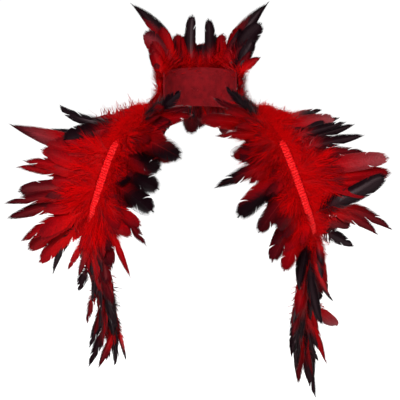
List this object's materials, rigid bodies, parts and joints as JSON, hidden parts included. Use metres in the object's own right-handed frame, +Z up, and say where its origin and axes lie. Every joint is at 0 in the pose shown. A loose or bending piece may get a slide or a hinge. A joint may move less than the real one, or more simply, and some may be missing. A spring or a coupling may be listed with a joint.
{
  "type": "feather cape",
  "caption": "Open-front feather cape: a cloth stand collar with plumes, feather strips with a braid ribbon over the shoulders, and feathered tails down the sides.",
  "frame": {"origin": "middle of the neck at the foot of the collar, where the cape sits on its wearer", "axes": "+Z up, -Y to the wearer's front, +X to the wearer's left"},
  "size_m": [0.5918, 0.2715, 0.6201],
  "materials": {
    "cloth": "woven, dull red",
    "feathers": "dyed rooster feathers, red to black, silky",
    "braid": "ribbed satin braid, bright red"
  },
  "bodies": {
    "root": {"collar_band": "cloth", "collar_plume": "feathers", "collar_ruff": "feathers", "right_outer_row": "feathers", "right_inner_row": "feathers", "right_ribbon": "braid", "right_tail": "feathers", "left_outer_row": "feathers", "left_inner_row": "feathers", "left_ribbon": "braid", "left_tail": "feathers"}
  },
  "joints": []
}
